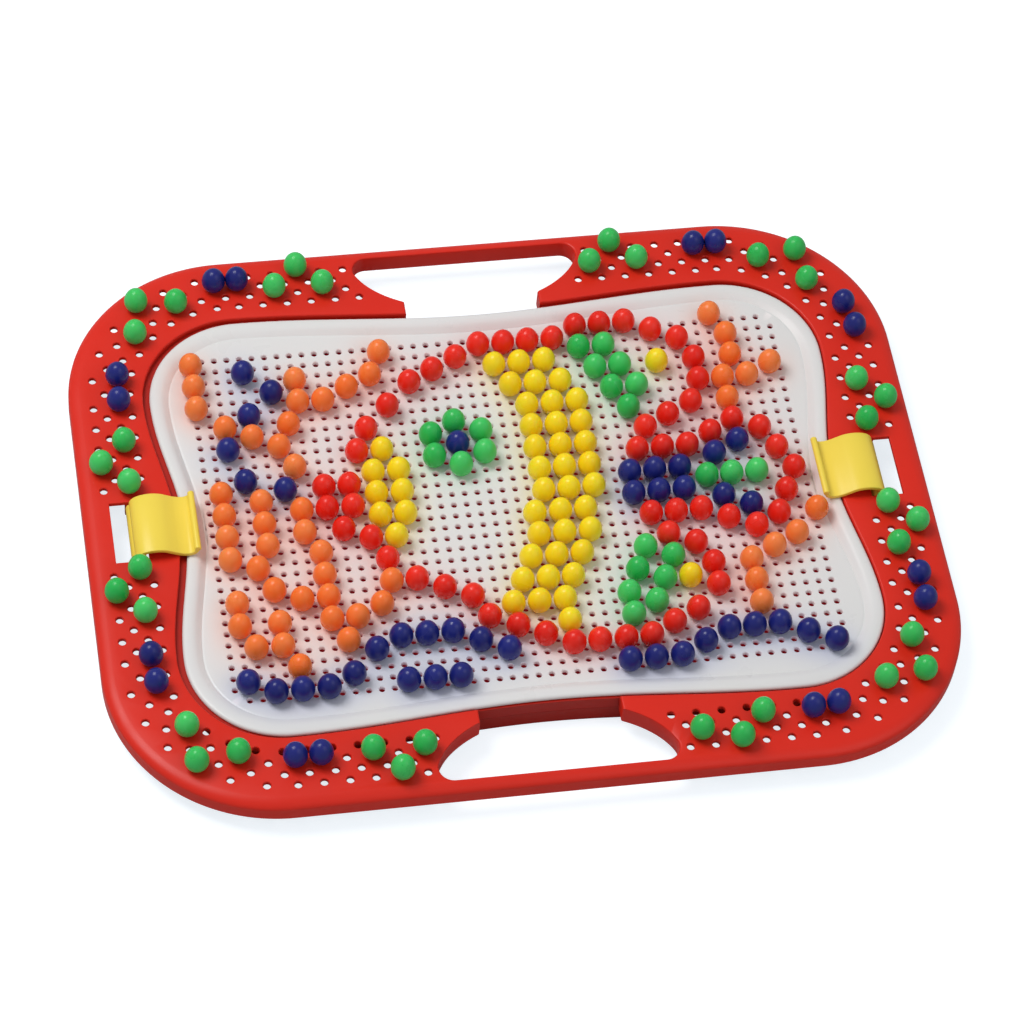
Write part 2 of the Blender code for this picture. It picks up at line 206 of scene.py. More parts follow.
PEG_COLOURS = {"O": "orange", "B": "blue", "R": "red", "Y": "yellow", "G": "green"}

# ---------------------------------------------------------------- outlines


def arc(centre, radius, start_deg, end_deg, segments):
    """Points along an arc, both ends included."""
    points = []
    for i in range(segments + 1):
        angle = math.radians(start_deg + (end_deg - start_deg) * i / segments)
        points.append((centre[0] + radius * math.cos(angle), centre[1] + radius * math.sin(angle)))
    return points


def circle(centre, radius, sides):
    """Points round a circle, the first one not repeated."""
    return arc(centre, radius, 0.0, 360.0 * (sides - 1) / sides, sides - 1)


def frame_outline(inset=0.0, segments=40):
    """The frame's outer edge: straight sides and corners struck from the corner centres."""
    cx, cy = CORNER_CENTRE
    radius = FRAME_HALF_LENGTH - cx - inset
    points = []
    for quarter, (sx, sy) in enumerate(((1, 1), (-1, 1), (-1, -1), (1, -1))):
        start = 90.0 * quarter
        points += arc((sx * cx, sy * cy), radius, start, start + 90.0, segments)
    return points


def pinched_outline(offset=0.0, shift=0.0, corner=32, long_side=44, short_side=32):
    """The board's outline grown by offset: round corners, with sides drawn in at the middle."""
    cx, cy = RIM_CENTRE
    radius = RIM_RADIUS + offset

    def side(half, reach, pinch, segments):
        run = []
        for i in range(1, segments):
            along = half * (1.0 - 2.0 * i / segments)
            run.append((along, reach - pinch * 0.5 * (1.0 + math.cos(math.pi * along / half))))
        return run

    long_run = side(cx, cy + radius, PINCH_LONG, long_side)
    short_run = side(cy, cx + radius, PINCH_SHORT, short_side)
    points = arc((cx, cy), radius, 0.0, 90.0, corner)
    points += long_run
    points += arc((-cx, cy), radius, 90.0, 180.0, corner)
    points += [(-reach, along) for along, reach in short_run]
    points += arc((-cx, -cy), radius, 180.0, 270.0, corner)
    points += [(-along, -reach) for along, reach in long_run]
    points += arc((cx, -cy), radius, 270.0, 360.0, corner)
    points += [(reach, -along) for along, reach in short_run]
    return [(x + shift, y) for x, y in points]


def outline_reach(offset, angles):
    """How far the pinched outline lies from the middle at these polar angles."""
    outline = np.array(pinched_outline(offset, corner=60, long_side=120, short_side=90))
    turns = np.arctan2(outline[:, 1], outline[:, 0])
    order = np.argsort(turns)
    reach = np.hypot(outline[:, 0], outline[:, 1])
    return np.interp(angles, turns[order], reach[order], period=2.0 * math.pi)


def handle_outline(grow=0.0, side=1):
    """Half an ellipse with rounded tips, opened towards the board by a straight-sided gap."""
    reach = HANDLE_HALF_LENGTH + grow
    depth = HANDLE_DEPTH + grow
    outer_y = HANDLE_OUTER_Y + grow
    rounding = HANDLE_ROUNDING + grow
    tip = math.radians(HANDLE_TIP_DEG)
    gap_angle = math.acos((HANDLE_GAP_HALF + grow) / reach)
    right = [(HANDLE_GAP_HALF + grow, RIM_CENTRE[1])]
    for i in range(HANDLE_SEGMENTS + 1):
        angle = gap_angle + (tip - gap_angle) * i / HANDLE_SEGMENTS
        right.append((reach * math.cos(angle), outer_y - depth * math.sin(angle)))
    run, rise = reach * math.sin(tip), depth * math.cos(tip)
    centre_x = right[-1][0] - rounding * rise / math.hypot(run, rise)
    start = -math.degrees(math.atan2(run, rise))
    right += arc((centre_x, outer_y - rounding), rounding, start, 90.0, TIP_SEGMENTS)[1:]
    whole = right + [(-x, y) for x, y in reversed(right)]
    return [(x, side * y) for x, y in whole]


def rectangle(low_x, high_x, low_y, high_y):
    return [(low_x, low_y), (high_x, low_y), (high_x, high_y), (low_x, high_y)]


def border_hole(row, step):
    """Centre of a border hole in the +X +Y quarter."""
    cx, cy = CORNER_CENTRE
    radius = FIRST_ROW_RADIUS + ROW_SPACING * row
    if step < LONG_STEPS:
        return LONG_START + LONG_STEP * step, cy + radius
    step -= LONG_STEPS
    if step < CORNER_STEPS:
        angle = math.radians(CORNER_START_DEG - CORNER_STEP_DEG * step)
        return cx + radius * math.cos(angle), cy + radius * math.sin(angle)
    step -= CORNER_STEPS
    return cx + radius, SHORT_START - SHORT_STEP * step


# ---------------------------------------------------------------- mesh helpers


def add_object(name, mesh):
    obj = bpy.data.objects.new(name, mesh)
    bpy.context.scene.collection.objects.link(obj)
    return obj


def to_mesh(name, bm):
    bmesh.ops.recalc_face_normals(bm, faces=bm.faces)
    mesh = bpy.data.meshes.new(name)
    bm.to_mesh(mesh)
    bm.free()
    return mesh


def loft(name, levels):
    """A closed solid through stacked outlines: levels are (height, outline) from the bottom up."""
    bm = bmesh.new()
    rings = [[bm.verts.new((x * MM, y * MM, z * MM)) for x, y in outline] for z, outline in levels]
    for lower, upper in zip(rings, rings[1:]):
        for i, vertex in enumerate(lower):
            j = (i + 1) % len(lower)
            bm.faces.new((vertex, lower[j], upper[j], upper[i]))
    bm.faces.new(list(reversed(rings[0])))
    bm.faces.new(rings[-1])
    bmesh.ops.remove_doubles(bm, verts=bm.verts, dist=1e-6)
    return add_object(name, to_mesh(name, bm))


def block(name, outline, bottom, top):
    return loft(name, [(bottom, outline), (top, outline)])


def apply_modifiers(obj):
    graph = bpy.context.evaluated_depsgraph_get()
    mesh = bpy.data.meshes.new_from_object(obj.evaluated_get(graph))
    obj.modifiers.clear()
    obj.data = mesh


def combine(obj, operation, *tools):
    """Cut tools from obj, or join them to it, and remove the tools."""
    for tool in tools:
        modifier = obj.modifiers.new(tool.name, "BOOLEAN")
        modifier.operation = operation
        modifier.solver = "EXACT"
        modifier.object = tool
    apply_modifiers(obj)
    for tool in tools:
        bpy.data.objects.remove(tool)


def smooth(obj, degrees=32.0):
    obj.data.shade_smooth()
    obj.data.set_sharp_from_angle(angle=math.radians(degrees))


def vertex_places(obj):
    """The mesh's points in millimetres, one row each."""
    co = np.empty(len(obj.data.vertices) * 3)
    obj.data.vertices.foreach_get("co", co)
    return co.reshape(-1, 3) / MM


def add_colours(obj, name, colours):
    """Store one colour for each vertex."""
    values = np.ones((len(obj.data.vertices), 4), dtype=np.float32)
    values[:, :3] = colours
    attribute = obj.data.color_attributes.new(name, "FLOAT_COLOR", "POINT")
    attribute.data.foreach_set("color", values.ravel())


def soft_top(outline_of, bottom, flare):
    """Levels of a cutter whose mouth widens at the frame's top, which leaves a rounded edge."""
    levels = [(bottom, outline_of(0.0))]
    for turn in FLARE_TURNS_DEG:
        angle = math.radians(turn)
        height = FRAME_TOP - flare * (1.0 - math.sin(angle))
        levels.append((height, outline_of(flare * (1.0 - math.cos(angle)))))
    levels.append((FRAME_TOP + OVERSHOOT, outline_of(flare)))
    return levels


def soft_bottom(levels, outline_of, flare):
    """The same at the frame's lower face."""
    below = [(FRAME_BOTTOM - OVERSHOOT, outline_of(flare)), (FRAME_BOTTOM, outline_of(flare))]
    return below + [(FRAME_BOTTOM + flare, outline_of(0.0))] + levels[1:]


# ---------------------------------------------------------------- frame and basin


def hole_cutters():
    """One mesh with a cutter for every hole in the border."""
    bm = bmesh.new()
    sides = BORDER_HOLE_SIDES
    mouth = BORDER_HOLE_RADIUS + BORDER_HOLE_FLARE
    profile = (
        (BORDER_HOLE_RADIUS, FRAME_BOTTOM - OVERSHOOT),
        (BORDER_HOLE_RADIUS, FRAME_TOP - BORDER_HOLE_FLARE),
        (mouth, FRAME_TOP),
        (mouth, FRAME_TOP + OVERSHOOT),
    )
    for sx, sy in ((1, 1), (-1, 1), (-1, -1), (1, -1)):
        for row in range(BORDER_ROWS):
            for step in range(row % 2, BORDER_STEPS, 2):
                if (row, step) == HANDLE_TIP_HOLE:
                    continue
                x, y = border_hole(row, step)
                rings = []
                for radius, z in profile:
                    ring = []
                    for px, py in circle((sx * x, sy * y), radius, sides):
                        ring.append(bm.verts.new((px * MM, py * MM, z * MM)))
                    rings.append(ring)
                for lower, upper in zip(rings, rings[1:]):
                    for i in range(sides):
                        j = (i + 1) % sides
                        bm.faces.new((lower[i], lower[j], upper[j], upper[i]))
                bm.faces.new(list(reversed(rings[0])))
                bm.faces.new(rings[-1])
    return add_object("hole_cutters", to_mesh("hole_cutters", bm))


def handle_cutter(side):
    def outline(grow):
        return handle_outline(grow, side)

    levels = soft_top(outline, FRAME_BOTTOM, HANDLE_FLARE)
    cutter = loft("handle", soft_bottom(levels, outline, FOOT_ROUNDING))
    wall = block("handle_wall", pinched_outline(LEDGE_OUTER), -OVERSHOOT, FRAME_TOP + 2.0 * OVERSHOOT)
    combine(cutter, "DIFFERENCE", wall)
    return cutter


def slot_cutter(side):
    def outline(grow):
        low_x, high_x = sorted((side * (SLOT_INNER_X - grow), side * (SLOT_OUTER_X + grow)))
        return rectangle(low_x, high_x, -SLOT_HALF_WIDTH - grow, SLOT_HALF_WIDTH + grow)

    levels = soft_top(outline, FRAME_BOTTOM, SLOT_FLARE)
    return loft("slot", soft_bottom(levels, outline, SLOT_FLARE))


def hinge_bar(side):
    bm = bmesh.new()
    length = 2.0 * (SLOT_HALF_WIDTH + 1.0) * MM
    radius = PIN_RADIUS * MM
    bmesh.ops.create_cone(bm, cap_ends=True, segments=PIN_SIDES, radius1=radius, radius2=radius, depth=length)
    turn = Matrix.Rotation(math.pi / 2.0, 4, "X")
    bm.transform(Matrix.Translation((side * PIN_X * MM, 0.0, PIN_Z * MM)) @ turn)
    return add_object("hinge_bar", to_mesh("hinge_bar", bm))


def underside_hollow():
    """The hollow under the frame's plate, which stops short of every wall and of the hinge posts."""
    skirt = frame_outline(FRAME_WALL + FOOT_ROUNDING)
    hollow = block("hollow", skirt, FRAME_BOTTOM - OVERSHOOT, PLATE_BOTTOM)
    low, high = FRAME_BOTTOM - 2.0 * OVERSHOOT, PLATE_BOTTOM + OVERSHOOT
    keeps = [block("keep_pocket", pinched_outline(POCKET_OFFSET + FRAME_WALL), low, high)]
    for side in (1, -1):
        keeps.append(block("keep_handle", handle_outline(FRAME_WALL, side), low, high))
        bar_y = sorted((side * (HANDLE_OUTER_Y - OVERSHOOT), side * (FRAME_HALF_WIDTH + OVERSHOOT)))
        bar = rectangle(-HANDLE_HALF_LENGTH, HANDLE_HALF_LENGTH, *bar_y)
        keeps.append(block("keep_bar", bar, low, high))
        posts_x = sorted((side * (PIN_X - KNUCKLE_RADIUS), side * (PIN_X + KNUCKLE_RADIUS)))
        reach = SLOT_HALF_WIDTH + FRAME_WALL
        keeps.append(block("keep_posts", rectangle(*posts_x, -reach, reach), low, high))
    combine(hollow, "DIFFERENCE", *keeps)
    return hollow


def make_frame():
    """The moulded frame: pocket, ledge, handles, clip slots with hinge bars, and border holes."""
    levels = [(FRAME_BOTTOM, frame_outline(FOOT_ROUNDING)), (FRAME_BOTTOM + FOOT_ROUNDING, frame_outline())]
    last = math.radians(EDGE_TURN_DEG)
    for i in range(EDGE_STEPS + 1):
        angle = last * i / EDGE_STEPS
        inset = EDGE_INSET * (1.0 - math.cos(angle)) / (1.0 - math.cos(last))
        height = EDGE_START + (FRAME_TOP - EDGE_START) * math.sin(angle) / math.sin(last)
        levels.append((height, frame_outline(inset)))
    body = loft("frame_shell", levels)

    def pocket_outline(grow):
        return pinched_outline(POCKET_OFFSET + grow)

    pocket = loft("pocket", soft_top(pocket_outline, LEDGE_TOP, POCKET_FLARE))
    inner = pinched_outline(LEDGE_INNER)
    through = block("through", inner, FRAME_BOTTOM - OVERSHOOT, FRAME_TOP + OVERSHOOT)
    combine(body, "DIFFERENCE", pocket, through, handle_cutter(1), handle_cutter(-1), underside_hollow())
    combine(body, "DIFFERENCE", slot_cutter(1), slot_cutter(-1), hole_cutters())
    combine(body, "UNION", hinge_bar(1), hinge_bar(-1))
    smooth(body)
    # Painted shade: the ledge and the wall below it, inside the pocket, are darkened through the depth
    # colour.
    co = vertex_places(body)
    reach = outline_reach(POCKET_OFFSET + 0.2, np.arctan2(co[:, 1], co[:, 0]))
    within = np.hypot(co[:, 0], co[:, 1]) < reach
    deep = within & (co[:, 2] < LEDGE_TOP + 0.1)
    add_colours(body, "depth", np.where(deep[:, None], LEDGE_PAINTED_SHADE, 1.0))
    add_colours(body, "shine", BLACK)
    return body


def make_basin():
    """The tray that holds the pegs, open under the board; its sections are (height, outline offset)."""
    outer = ((0.0, -0.5), (0.12, -0.2), (0.4, 0.0), (BASIN_TOP - 0.3, 0.0), (BASIN_TOP, -0.3))
    inner = ((BASIN_FLOOR, -1.8), (BASIN_FLOOR + 0.5, -0.7), (BASIN_FLOOR + 1.8, 0.0))
    inner += ((BASIN_TOP + OVERSHOOT, 0.0),)
    tray = loft("basin_tray", [(z, pinched_outline(BASIN_OFFSET + inset)) for z, inset in outer])
    wall = BASIN_OFFSET - BASIN_WALL
    inside = loft("basin_inside", [(z, pinched_outline(wall + inset)) for z, inset in inner])
    combine(tray, "DIFFERENCE", inside)
    smooth(tray)
    co = vertex_places(tray)
    # Painted light: the basin's upward-facing floor glows through the shine colour, given as emission.
    up = np.array([vertex.normal.z for vertex in tray.data.vertices]) > 0.5
    on_floor = up & (np.abs(co[:, 2] - BASIN_FLOOR) < 1.0)
    # Painted shade: the whole basin is darkened through the depth colour.
    add_colours(tray, "depth", BASIN_PAINTED_SHADE)
    add_colours(tray, "shine", np.where(on_floor[:, None], BASIN_FLOOR_PAINTED_GLOW, BLACK))
    return tray


# ---------------------------------------------------------------- board


def dish(x, y):
    """Height of the board's upper face."""
    rise_x = DISH_X[0] * ((x - BOARD_SHIFT) / DISH_X[1]) ** 2
    rise_y = DISH_Y[0] * (y / DISH_Y[1]) ** 2
    return DISH_LOW + rise_x + rise_y


def hole_place(column, row):
    """Centre of a board hole, counted from the far left one."""
    x = BOARD_SHIFT + (column - (COLUMNS - 1) / 2.0) * PITCH_X
    y = -(row - (ROWS - 1) / 2.0) * PITCH_Y
    return x, y


def has_hole(column, row):
    """The grid's corner cells are left out, where the rim curves in."""
    return not (column in (0, COLUMNS - 1) and row in (0, ROWS - 1))


def cell_square():
    """Twelve points round a grid cell, in units of its half sides: corners and thirds."""
    third = 1.0 / 3.0
    side = ((1.0, -1.0), (1.0, -third), (1.0, third))
    points = []
    for quarter in range(4):
        c, s = round(math.cos(quarter * math.pi / 2)), round(math.sin(quarter * math.pi / 2))
        points += [(c * x - s * y, s * x + c * y) for x, y in side]
    return points


def field_cells(bm):
    """The perforated field, as rings of twelve points in every cell."""
    square = cell_square()
    ring_angles = [math.radians(-45.0 + 30.0 * i) for i in range(12)]
    for column in range(COLUMNS):
        for row in range(ROWS):
            if not has_hole(column, row):
                continue
            x, y = hole_place(column, row)
            edge = [(x + u * PITCH_X / 2.0, y + v * PITCH_Y / 2.0) for u, v in square]
            radii = (BOARD_HOLE_RADIUS + HOLE_CHAMFER, BOARD_HOLE_RADIUS)
            wide, narrow = [[(x + r * math.cos(a), y + r * math.sin(a)) for a in ring_angles] for r in radii]
            loops = ((edge, 0.0), (wide, 0.0), (narrow, -HOLE_CHAMFER), (narrow, -PLATE), (edge, -PLATE))
            rings = []
            for points, drop in loops:
                places = [(px * MM, py * MM, (dish(px, py) + drop) * MM) for px, py in points]
                rings.append([bm.verts.new(place) for place in places])
            for outer, inner in zip(rings, rings[1:]):
                for i in range(12):
                    j = (i + 1) % 12
                    bm.faces.new((outer[i], outer[j], inner[j], inner[i]))


def field_edge():
    """Points round the field, three to a cell, stepping in where a corner cell is left out."""
    half_x, half_y = COLUMNS * PITCH_X / 2.0, ROWS * PITCH_Y / 2.0
    notch_x, notch_y = half_x - PITCH_X, half_y - PITCH_Y
    corners = []
    for sx, sy, turned in ((1, 1, False), (-1, 1, True), (-1, -1, False), (1, -1, True)):
        notch = [(half_x, notch_y), (notch_x, notch_y), (notch_x, half_y)]
        if turned:
            notch.reverse()
        corners += [(sx * x, sy * y) for x, y in notch]
    points = []
    for start, end in zip(corners, corners[1:] + corners[:1]):
        dx, dy = end[0] - start[0], end[1] - start[1]
        count = 3 * round(max(abs(dx) / PITCH_X, abs(dy) / PITCH_Y))
        points += [(start[0] + dx * i / count, start[1] + dy * i / count) for i in range(count)]
    return points


def rim_ring(edge, offset):
    """The outline at this offset, read at the polar angles of the field's edge points."""
    angles = [math.atan2(y, x) for x, y in edge]
    return [(radius * math.cos(angle), radius * math.sin(angle))
            for angle, radius in zip(angles, outline_reach(offset, angles))]


def make_board(tint):
    """The perforated field joined to a raised rim, with a locating lip underneath."""
    bm = bmesh.new()
    field_cells(bm)
    edge = field_edge()

    def add_ring(offset, height):
        points = edge if offset is None else rim_ring(edge, offset)
        ring = []
        for x, y in points:
            px = x + BOARD_SHIFT
            ring.append(bm.verts.new((px * MM, y * MM, height(dish(px, y)) * MM)))
        return ring

    def climb(share, drop=0.0):
        return lambda field: field + (RIM_CROWN - field) * share - drop

    def level(height):
        return lambda field: height

    def below(field):
        return field - PLATE

    rings = [
        add_ring(None, climb(0.0)),
        add_ring(-8.7, climb(0.0)),
        add_ring(-8.3, climb(0.0, 0.04)),
        add_ring(-8.0, climb(0.0, 0.20)),
        add_ring(-7.7, climb(0.0, 0.20)),
        add_ring(-7.4, climb(0.04, 0.02)),
        add_ring(-6.9, climb(0.16)),
        add_ring(-6.2, climb(0.40)),
        add_ring(-5.4, climb(0.66)),
        add_ring(-4.5, climb(0.86)),
        add_ring(-3.4, climb(0.97)),
        add_ring(-2.4, climb(1.0)),
        add_ring(-1.5, level(RIM_CROWN - 0.03)),
        add_ring(-0.9, level(RIM_CROWN - 0.16)),
        add_ring(-0.45, level(RIM_CROWN - 0.40)),
        add_ring(-0.12, level(RIM_CROWN - 0.80)),
        add_ring(0.0, level(RIM_CROWN - 1.25)),
        add_ring(-0.05, level(RIM_BOTTOM + 0.2)),
        add_ring(-0.3, level(RIM_BOTTOM)),
        add_ring(-5.1, level(RIM_BOTTOM)),
        add_ring(-5.1, level(LIP_BOTTOM + 4.0)),
        add_ring(-6.0, level(LIP_BOTTOM + 4.0)),
        add_ring(-6.0, level(LIP_BOTTOM)),
        add_ring(-7.6, level(LIP_BOTTOM)),
        add_ring(-7.6, below),
        add_ring(None, below),
    ]
    count = len(edge)
    for outer, inner in zip(rings, rings[1:]):
        for i in range(count):
            j = (i + 1) % count
            bm.faces.new((outer[i], outer[j], inner[j], inner[i]))
    bmesh.ops.remove_doubles(bm, verts=bm.verts, dist=2e-6)
    board = add_object("perforated_board", to_mesh("perforated_board", bm))
    smooth(board, 40.0)
    add_painted_light(board, tint)
    return board


def add_painted_light(board, pegs):
    """Painted light: the coloured glow that the pegs throw on the white plastic round them, and a painted
    glow for the light that comes through its holes.
    """
    co = vertex_places(board)
    tint = np.ones((len(co), 3))
    for colour, places in pegs.items():
        total = np.zeros(len(co))
        for x, y, _ in places:
            total += np.exp(-(np.hypot(co[:, 0] - x, co[:, 1] - y) / GLOW_REACH) ** 2)
        share = GLOW_STRENGTH[colour] * (1.0 - np.exp(-total))
        tint *= 1.0 - share[:, None] * (1.0 - np.array(GLOW[colour]))
    add_colours(board, "glow", tint)

    # Painted light: the holes of the board glow through the shine colour, paler at the mouth and redder at
    # the foot.
    grid_x = (co[:, 0] - BOARD_SHIFT) / PITCH_X + 0.5
    grid_y = co[:, 1] / PITCH_Y + 0.5
    away = np.hypot((grid_x - np.round(grid_x)) * PITCH_X, (grid_y - np.round(grid_y)) * PITCH_Y)
    field = dish(co[:, 0], co[:, 1])
    shine = np.zeros((len(co), 3))
    in_field = (np.abs(grid_x - 0.5) < COLUMNS / 2.0) & (np.abs(grid_y - 0.5) < ROWS / 2.0)
    in_hole = in_field & (away < BOARD_HOLE_RADIUS + 0.05)
    shine[in_hole & (co[:, 2] > field - PLATE / 2.0)] = HOLE_PAINTED_GLOW[0]
    shine[in_hole & (co[:, 2] < field - PLATE / 2.0)] = HOLE_PAINTED_GLOW[1]
    add_colours(board, "shine", shine)


# ---------------------------------------------------------------- clips


def catmull_rom(points, steps):
    """A smooth line through the points."""
    ends = [tuple(2.0 * a - b for a, b in zip(points[0], points[1]))]
    ends += list(points)
    ends.append(tuple(2.0 * a - b for a, b in zip(points[-1], points[-2])))
    line = []
    for i in range(1, len(ends) - 2):
        p0, p1, p2, p3 = (Vector(ends[k]) for k in range(i - 1, i + 3))
        for step in range(steps):
            t = step / steps
            cubic = (-p0 + 3.0 * p1 - 3.0 * p2 + p3) * t ** 3
            square = (2.0 * p0 - 5.0 * p1 + 4.0 * p2 - p3) * t ** 2
            line.append(0.5 * (2.0 * p1 + (p2 - p0) * t + square + cubic))
    line.append(Vector(points[-1]))
    return line


def strip_outline(line, thickness):
    """Both sides of a strip that follows a centre line of (x, z) points."""
    upper, lower = [], []
    for i, point in enumerate(line):
        along = line[min(i + 1, len(line) - 1)] - line[max(i - 1, 0)]
        normal = Vector((-along.y, along.x)).normalized() * thickness / 2.0
        upper.append(tuple(point + normal))
        lower.append(tuple(point - normal))
    return lower + list(reversed(upper))


def make_clip(side):
    """An S-shaped strip: knuckle round the hinge bar, hump, valley over the rim, finger lip."""

    def solid(name, outline_of, half_width=CLIP_HALF_WIDTH):
        """Extrude an (x, z) outline over the clip's width, with its two edges rounded over."""
        levels = []
        for turn in FLARE_TURNS_DEG:
            angle = math.radians(turn)
            inset = CLIP_EDGE_ROUNDING * (1.0 - math.sin(angle))
            reach = half_width - CLIP_EDGE_ROUNDING * (1.0 - math.cos(angle))
            levels.append((reach, outline_of(inset)))
        levels = [(-reach, outline) for reach, outline in levels] + list(reversed(levels))
        piece = loft(name, levels)
        for vertex in piece.data.vertices:
            x, z, y = vertex.co
            vertex.co = (x, -y, z)
        return piece

    line = catmull_rom([(u - KNUCKLE_RADIUS, z - PIN_Z) for u, z in CLIP_PROFILE], CLIP_STEPS)
    name = "clip_spring_left" if side < 0 else "clip_spring_right"
    clip = solid(name, lambda inset: strip_outline(line, CLIP_THICKNESS - 2.0 * inset))
    knuckle = solid("knuckle", lambda inset: circle((0.0, 0.0), KNUCKLE_RADIUS - inset, KNUCKLE_SIDES))
    lip = solid("lip", lambda inset: circle(tuple(line[-1]), LIP_RADIUS - inset, PIN_SIDES))
    bore_outline = circle((0.0, 0.0), KNUCKLE_BORE, PIN_SIDES)
    bore = solid("bore", lambda inset: bore_outline, CLIP_HALF_WIDTH + OVERSHOOT)
    combine(clip, "UNION", knuckle, lip)
    combine(clip, "DIFFERENCE", bore)
    turn = Matrix.Rotation(0.0 if side < 0 else math.pi, 4, "Z")
    clip.data.transform(Matrix.Translation((side * PIN_X * MM, 0.0, PIN_Z * MM)) @ turn)
    smooth(clip, 28.0)
    return clip


# ---------------------------------------------------------------- pegs


def peg_profile():
    """Half section of a peg from the top of its head to the stem's tip, as (radius, height)."""
    middle = SEAT_GAP + HEAD_MIDDLE * HEAD_HEIGHT
    top = SEAT_GAP + HEAD_HEIGHT
    base_turn = math.degrees(math.acos(0.42))
    profile = [(0.0, top)]
    for i in range(11):
        turn = math.radians(82.0 - 82.0 * i / 10)
        taper = 1.0 - 0.05 * math.sin(turn)
        profile.append((PEG_RADIUS * math.cos(turn) * taper, middle + (top - middle) * math.sin(turn)))
    for i in range(1, 7):
        turn = math.radians(base_turn * i / 6)
        drop = (middle - SEAT_GAP) * math.sin(turn) / math.sin(math.radians(base_turn))
        profile.append((PEG_RADIUS * math.cos(turn), middle - drop))
    profile += [(STEM_RADIUS + 0.1, SEAT_GAP - 0.02), (STEM_RADIUS, SEAT_GAP - 0.15)]
    profile += [(STEM_RADIUS, 0.6 - STEM_LENGTH), (STEM_RADIUS * 0.75, -STEM_LENGTH), (0.0, -STEM_LENGTH)]
    return profile


def peg_cluster(name, places, rng, lean_deg):
    """Pegs at (x, y, seat height), each leaning a little and moulded in its own shade."""
    profile = peg_profile()
    bm = bmesh.new()
    shade = bm.verts.layers.float_color.new("shade")
    for x, y, z in places:
        lean_x, lean_y = (math.radians(rng.uniform(-lean_deg, lean_deg)) for _ in range(2))
        lean = Matrix.Rotation(lean_x, 3, "X") @ Matrix.Rotation(lean_y, 3, "Y")
        place = Vector((x, y, z))
        tone = rng.uniform(0.0, 1.0)
        rings = []
        for radius, height in profile:
            if radius == 0.0:
                points = [(0.0, 0.0)]
            else:
                points = circle((0.0, 0.0), radius, PEG_SIDES)
            ring = [bm.verts.new((place + lean @ Vector((px, py, height))) * MM) for px, py in points]
            for vertex in ring:
                vertex[shade] = (tone, tone, tone, 1.0)
            rings.append(ring)
        for upper, lower in zip(rings, rings[1:]):
            for i in range(PEG_SIDES):
                j = (i + 1) % PEG_SIDES
                corners = {upper[i % len(upper)]: None, upper[j % len(upper)]: None,
                           lower[j % len(lower)]: None, lower[i % len(lower)]: None}
                bm.faces.new(list(corners))
    pegs = add_object(name, to_mesh(name, bm))
    smooth(pegs, 50.0)
    return pegs


def mosaic_places():
    """Board pegs of each colour, as (x, y, seat height)."""
    found = {colour: [] for colour in PEG_COLOURS.values()}
    for row, line in enumerate(MOSAIC):
        for column, letter in enumerate(line):
            if letter in PEG_COLOURS:
                x, y = hole_place(column, row)
                found[PEG_COLOURS[letter]].append((x, y, dish(x, y)))
    return found


# ---------------------------------------------------------------- materials

PLASTIC = {
    "red_plastic": (0.74, 0.022, 0.009),
    "white_plastic": (0.76, 0.748, 0.738),
    "yellow_plastic": (0.93, 0.70, 0.085),
}
PEG_TONES = {  # (deeper, paler) moulding of each colour
    "orange": ((0.98, 0.19, 0.028), (1.0, 0.25, 0.06)),
    "blue": ((0.009, 0.013, 0.15), (0.014, 0.021, 0.20)),
    "red": ((0.80, 0.016, 0.007), (0.90, 0.030, 0.014)),
    "yellow": ((1.0, 0.67, 0.008), (1.0, 0.76, 0.016)),
    "green": ((0.018, 0.47, 0.085), (0.075, 0.64, 0.15)),
}
GLOW = {  # painted light: the coloured glow of a peg, as what the white plastic is multiplied by beside it
    "orange": (1.13, 0.78, 0.69),
    "blue": (0.68, 0.74, 1.04),
    "red": (1.10, 0.80, 0.78),
    "yellow": (1.12, 1.06, 0.72),
    "green": (0.86, 1.05, 0.90),
}
# strength and reach of the painted peg glow
GLOW_STRENGTH = {"orange": 0.9, "blue": 0.8, "red": 0.7, "yellow": 0.7, "green": 0.6}
GLOW_REACH = 8.5  # mm
GRAIN_DEPTH = 0.00008  # m
LEDGE_PAINTED_SHADE = 0.62  # painted shade: the board's ledge and the wall below it are darkened because they lie deep in the frame
# painted shade: the whole basin is darkened, as it lies in shade under the board and the frame
BASIN_PAINTED_SHADE = 0.55
BLACK = (0.0, 0.0, 0.0)
BASIN_FLOOR_PAINTED_GLOW = (0.06, 0.002, 0.005)  # painted glow, given as emission, for the light that the thin white board lets through to the basin's floor
HOLE_PAINTED_GLOW = ((0.13, 0.095, 0.10), (0.06, 0.014, 0.018))  # painted glow, given as emission, in a board hole: paler at its mouth and redder at its foot


def new_material(name):
    material = bpy.data.materials.new(name)
    material.use_nodes = True
    tree = material.node_tree
    return material, tree, tree.nodes["Principled BSDF"]


def noise(tree, coordinates, scale, detail=3.0, stretch=None):
    """Noise over the object's own coordinates, squeezed along each axis where stretch says so."""
    if stretch:
        mapping = tree.nodes.new("ShaderNodeMapping")
        mapping.inputs["Scale"].default_value = stretch
        tree.links.new(coordinates, mapping.inputs["Vector"])
        coordinates = mapping.outputs["Vector"]
    node = tree.nodes.new("ShaderNodeTexNoise")
    node.inputs["Scale"].default_value = scale
    node.inputs["Detail"].default_value = detail
    tree.links.new(coordinates, node.inputs["Vector"])
    return node.outputs["Fac"]


def map_range(tree, value, low, high):
    """Noise mostly lies between 0.3 and 0.7, and is spread over low to high."""
    node = tree.nodes.new("ShaderNodeMapRange")
    node.inputs["From Min"].default_value = 0.3
    node.inputs["From Max"].default_value = 0.7
    node.inputs["To Min"].default_value = low
    node.inputs["To Max"].default_value = high
    tree.links.new(value, node.inputs["Value"])
    return node.outputs["Result"]


